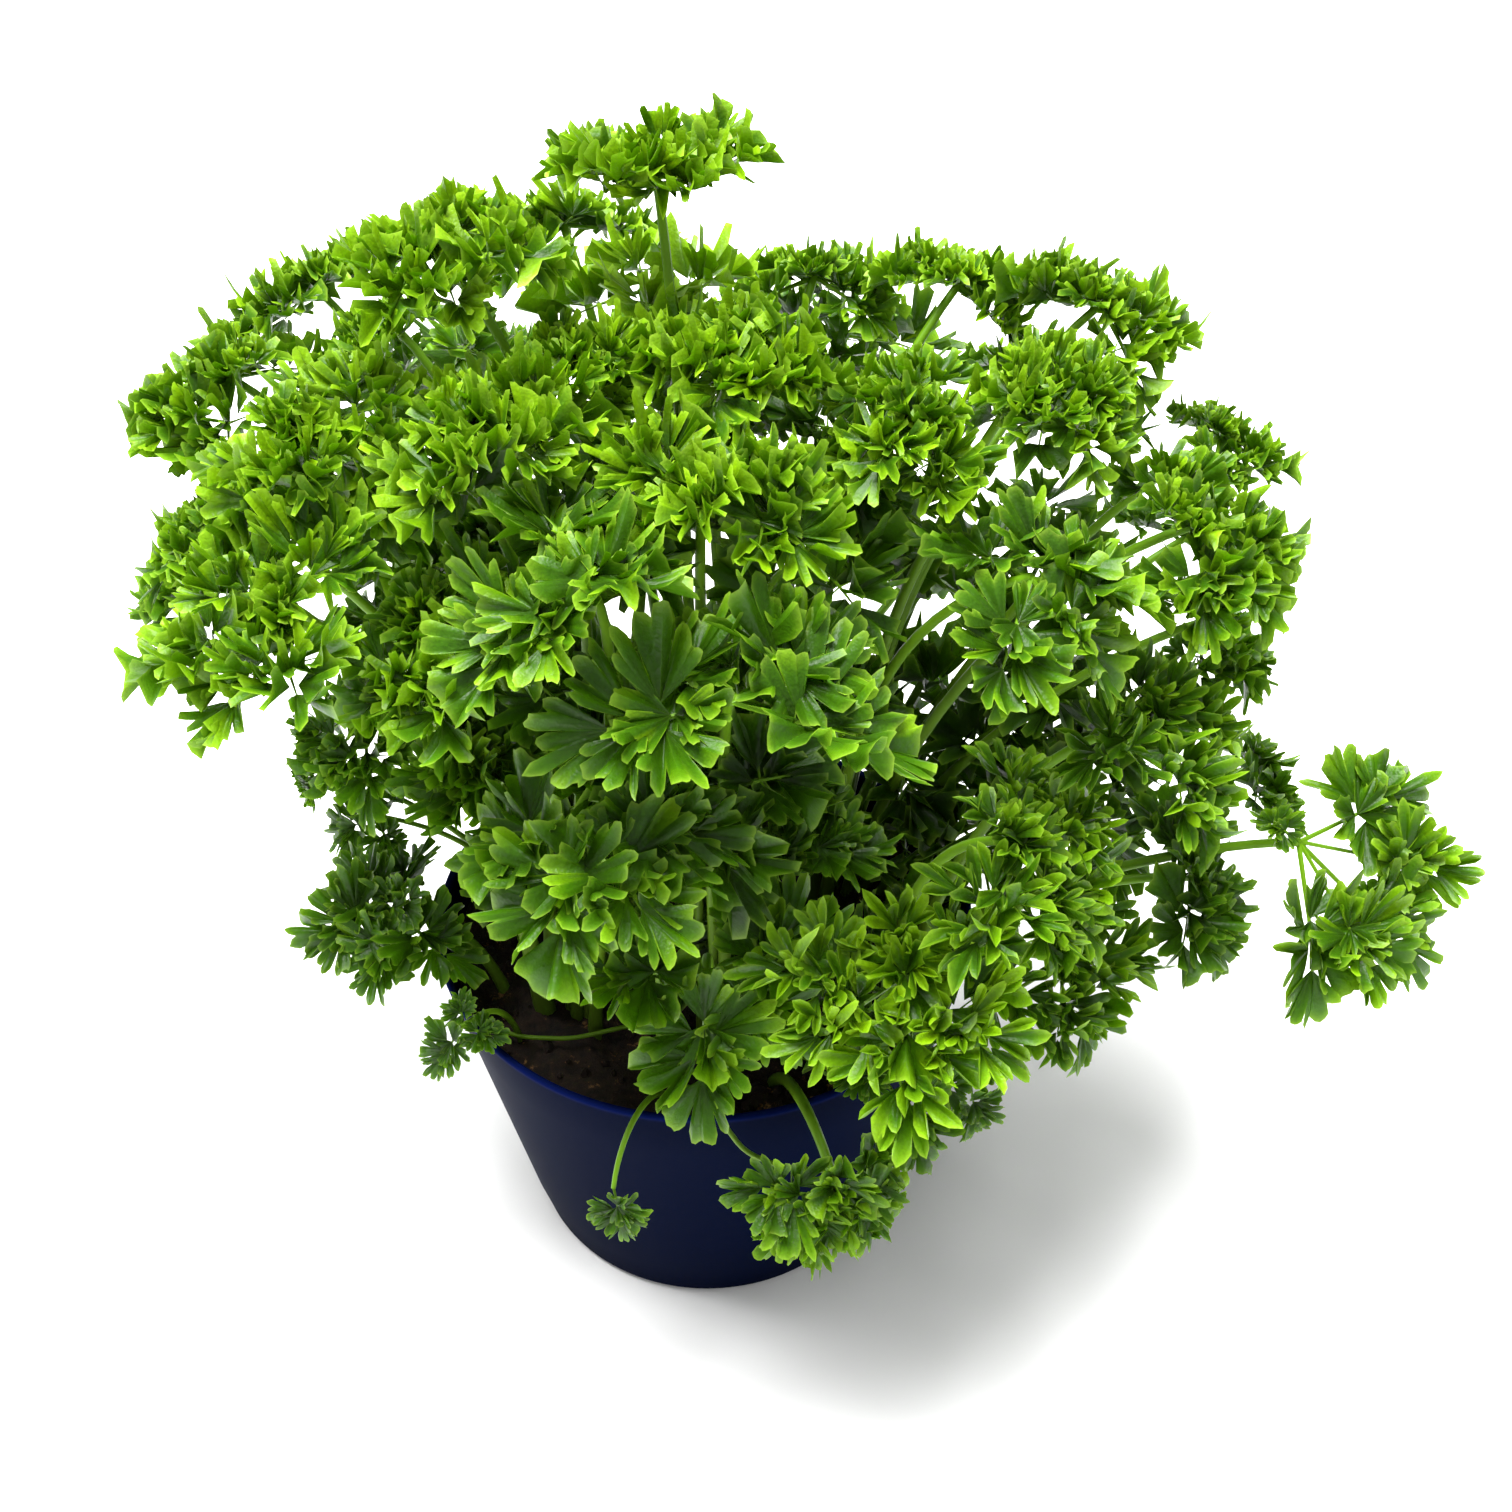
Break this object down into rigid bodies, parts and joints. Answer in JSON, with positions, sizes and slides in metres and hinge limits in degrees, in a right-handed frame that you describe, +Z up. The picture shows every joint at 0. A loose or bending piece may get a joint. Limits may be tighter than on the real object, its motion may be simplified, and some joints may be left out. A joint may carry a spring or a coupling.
{
  "type": "potted parsley",
  "caption": "Curly parsley growing in a round tapered plastic pot filled with compost; rests on its flat foot.",
  "frame": {"origin": "middle of the pot's flat underside", "axes": "+Z up; +X along the plant's longest spread, to the right seen from the front; -Y towards the front"},
  "size_m": [0.2788, 0.2292, 0.2548],
  "materials": {
    "pot": "satin",
    "compost": "matte",
    "leaf": "satin"
  },
  "bodies": {
    "root": {"pot": "pot", "soil": "compost", "leaf_summit": "leaf", "leaf_top_left": "leaf", "leaf_bright_top": "leaf", "leaf_centre_high": "leaf", "leaf_centre_front": "leaf", "leaf_bow": "leaf", "leaf_centre_left": "leaf", "leaf_centre_back": "leaf", "leaf_left_front": "leaf", "leaf_left_bright": "leaf", "leaf_left_inner": "leaf", "leaf_left_mid": "leaf", "leaf_left_shoulder": "leaf", "leaf_left_low_back": "leaf", "leaf_left_inner_small": "leaf", "leaf_back_left": "leaf", "leaf_back_left_mid": "leaf", "leaf_back_centre": "leaf", "leaf_back_right": "leaf", "leaf_back_far_right": "leaf", "leaf_right_upper": "leaf", "leaf_right_top_front": "leaf", "leaf_right_centre": "leaf", "leaf_right_big": "leaf", "leaf_right_behind": "leaf", "leaf_right_low_back": "leaf", "leaf_right_curly": "leaf", "leaf_inner_dark": "leaf", "leaf_inner_left": "leaf", "leaf_lower_left": "leaf", "leaf_left_under": "leaf", "leaf_front_left": "leaf", "leaf_lower_centre": "leaf", "leaf_lower_back": "leaf", "leaf_right_front": "leaf", "leaf_right_front_upper": "leaf", "leaf_right_front_lower": "leaf", "leaf_right_low": "leaf", "leaf_right_spray": "leaf", "leaf_right_small": "leaf", "leaf_hang_front": "leaf", "leaf_hang_shaded": "leaf", "leaf_hang_small": "leaf", "leaf_rim_left": "leaf", "leaf_left_flat": "leaf", "leaf_left_dark": "leaf", "leaf_left_pale": "leaf", "leaf_rim_right": "leaf", "leaf_rear_left": "leaf", "leaf_rear_left_high": "leaf", "leaf_rear_middle": "leaf", "leaf_rear_right": "leaf", "leaf_rear_right_high": "leaf", "leaf_rear_far_right": "leaf", "leaf_rear_low_right": "leaf", "leaf_rear_low_left": "leaf"}
  },
  "joints": []
}
